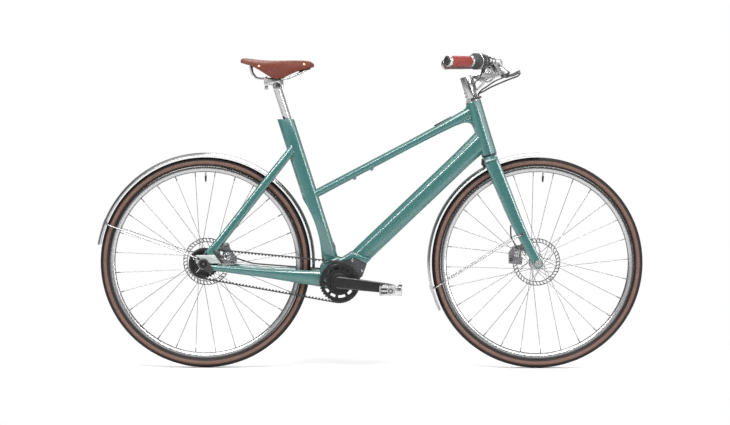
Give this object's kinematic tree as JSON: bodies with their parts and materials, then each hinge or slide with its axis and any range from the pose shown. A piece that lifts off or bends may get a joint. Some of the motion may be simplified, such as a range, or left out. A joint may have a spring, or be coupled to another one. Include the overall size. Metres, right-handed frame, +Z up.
{
  "type": "step-through bicycle",
  "caption": "Step-through city bicycle with a dropped top tube, a gearbox at the cranks, a toothed belt, disc brakes and polished fenders.",
  "frame": {"origin": "on the ground below the middle of the bicycle's length and width", "axes": "+X forward, +Y to the rider's left, +Z up; the drive side faces -Y"},
  "size_m": [1.792, 0.6286, 1.0281],
  "materials": {
    "teal_paint": "satin gloss paint on aluminium",
    "polished_metal": "polished",
    "satin_metal": "satin anodised",
    "black_anodised": "matte anodised",
    "dark_casting": "matte painted casting",
    "black_plastic": "matte",
    "black_rubber": "matte",
    "brown_tyre": "matte",
    "brown_leather": "smooth with fine grain",
    "brown_grip": "stitched"
  },
  "bodies": {
    "frame": {"head_tube": "teal_paint", "top_tube": "teal_paint", "down_tube": "teal_paint", "seat_tube": "teal_paint", "gearbox_bridge": "teal_paint", "chainstay_left": "teal_paint", "chainstay_right": "teal_paint", "seatstay_left": "teal_paint", "seatstay_right": "teal_paint", "dropout_right": "satin_metal", "gearbox_housing": "dark_casting", "gearbox_cover": "dark_casting", "headset_upper_bearing": "satin_metal", "headset_lower_bearing": "black_anodised", "rear_fender": "polished_metal", "rear_fender_stay": "satin_metal", "rear_axle": "satin_metal", "rear_caliper": "dark_casting", "rear_brake_hose": "black_rubber", "drive_belt": "black_rubber"},
    "seatpost_body": {"seatpost": "polished_metal"},
    "saddle_body": {"saddle_clamp": "polished_metal", "saddle_rails": "polished_metal", "saddle_leather": "brown_leather"},
    "steering_body": {"fork_steerer": "teal_paint", "fork_blade_left": "teal_paint", "fork_blade_right": "teal_paint", "stem": "polished_metal", "handlebar": "polished_metal", "grip_left": "brown_grip", "grip_right": "brown_grip", "lever_bracket_left": "satin_metal", "lever_bracket_right": "satin_metal", "shifter_housing": "black_plastic", "front_fender": "polished_metal", "front_fender_stay": "satin_metal", "front_caliper": "dark_casting", "front_brake_hose": "black_rubber", "bar_hose_left": "black_rubber", "bar_hose_right": "black_rubber", "shift_cable": "black_rubber", "cable_port": "black_plastic", "front_axle": "satin_metal"},
    "lever_left_body": {"brake_lever_left": "polished_metal"},
    "lever_right_body": {"brake_lever_right": "polished_metal"},
    "shifter_barrel_body": {"shifter_barrel": "black_plastic"},
    "front_wheel_body": {"front_tyre": "brown_tyre", "front_rim": "satin_metal", "front_hub": "satin_metal", "front_rotor": "polished_metal"},
    "rear_wheel_body": {"rear_tyre": "brown_tyre", "rear_rim": "satin_metal", "rear_hub": "satin_metal", "rear_rotor": "polished_metal"},
    "rear_sprocket_body": {"rear_sprocket": "satin_metal"},
    "front_sprocket_body": {"front_sprocket": "black_anodised"},
    "crankset_body": {"crank_arm_right": "black_anodised", "crank_arm_left": "black_anodised"},
    "pedal_left_body": {"pedal_left": "satin_metal"},
    "pedal_right_body": {"pedal_right": "satin_metal"}
  },
  "joints": [
    {"name": "steering", "type": "hinge", "parent": "frame", "child": "steering_body", "pos_m": [0.39219, 0, 0.70149], "axis": [-0.2924, 0, 0.9563], "range_deg": [-75, 75]},
    {"name": "front_wheel_spin", "type": "hinge", "parent": "steering_body", "child": "front_wheel_body", "pos_m": [0.55002, 0, 0.346], "axis": [0, 1, 0], "continuous": true},
    {"name": "rear_wheel_spin", "type": "hinge", "parent": "frame", "child": "rear_wheel_body", "pos_m": [-0.53997, 0, 0.346], "axis": [0, 1, 0], "continuous": true},
    {"name": "crank_spin", "type": "hinge", "parent": "frame", "child": "crankset_body", "pos_m": [-0.09847, 0, 0.285], "axis": [0, 1, 0], "continuous": true},
    {"name": "front_sprocket_spin", "type": "hinge", "parent": "frame", "child": "front_sprocket_body", "pos_m": [-0.09847, 0, 0.285], "axis": [0, 1, 0], "continuous": true},
    {"name": "rear_sprocket_spin", "type": "hinge", "parent": "frame", "child": "rear_sprocket_body", "pos_m": [-0.53997, 0, 0.346], "axis": [0, 1, 0], "continuous": true},
    {"name": "pedal_left_spin", "type": "hinge", "parent": "crankset_body", "child": "pedal_left_body", "pos_m": [-0.26731, 0.14, 0.30483], "axis": [0, 1, 0], "continuous": true},
    {"name": "pedal_right_spin", "type": "hinge", "parent": "crankset_body", "child": "pedal_right_body", "pos_m": [0.07036, -0.14, 0.26517], "axis": [0, 1, 0], "continuous": true},
    {"name": "brake_lever_left_pull", "type": "hinge", "parent": "steering_body", "child": "lever_left_body", "pos_m": [0.41467, 0.21021, 0.96198], "axis": [0.4754, 0.5666, 0.673], "range_deg": [0, 18], "stiffness_Nm_per_rad": 1.5, "springref_deg": -5.73},
    {"name": "brake_lever_right_pull", "type": "hinge", "parent": "steering_body", "child": "lever_right_body", "pos_m": [0.41467, -0.21021, 0.96198], "axis": [-0.4754, 0.5666, -0.673], "range_deg": [0, 18], "stiffness_Nm_per_rad": 1.5, "springref_deg": -5.73},
    {"name": "shifter_twist", "type": "hinge", "parent": "steering_body", "child": "shifter_barrel_body", "pos_m": [0.25112, -0.3, 1.00192], "axis": [0.766, 0.6428, 0], "range_deg": [-135, 135]},
    {"name": "seatpost_slide", "type": "slide", "parent": "frame", "child": "seatpost_body", "axis": [-0.304, 0, 0.9527], "range_m": [-0.07, 0.06]},
    {"name": "saddle_tilt", "type": "hinge", "parent": "seatpost_body", "child": "saddle_body", "pos_m": [-0.30422, 0, 0.92475], "axis": [0, 1, 0], "range_deg": [-6, 6]}
  ],
  "couplings": [
    {"joint": "front_sprocket_spin", "follows": "crank_spin", "ratio": 1},
    {"joint": "rear_sprocket_spin", "follows": "crank_spin", "ratio": 1.3571}
  ]
}
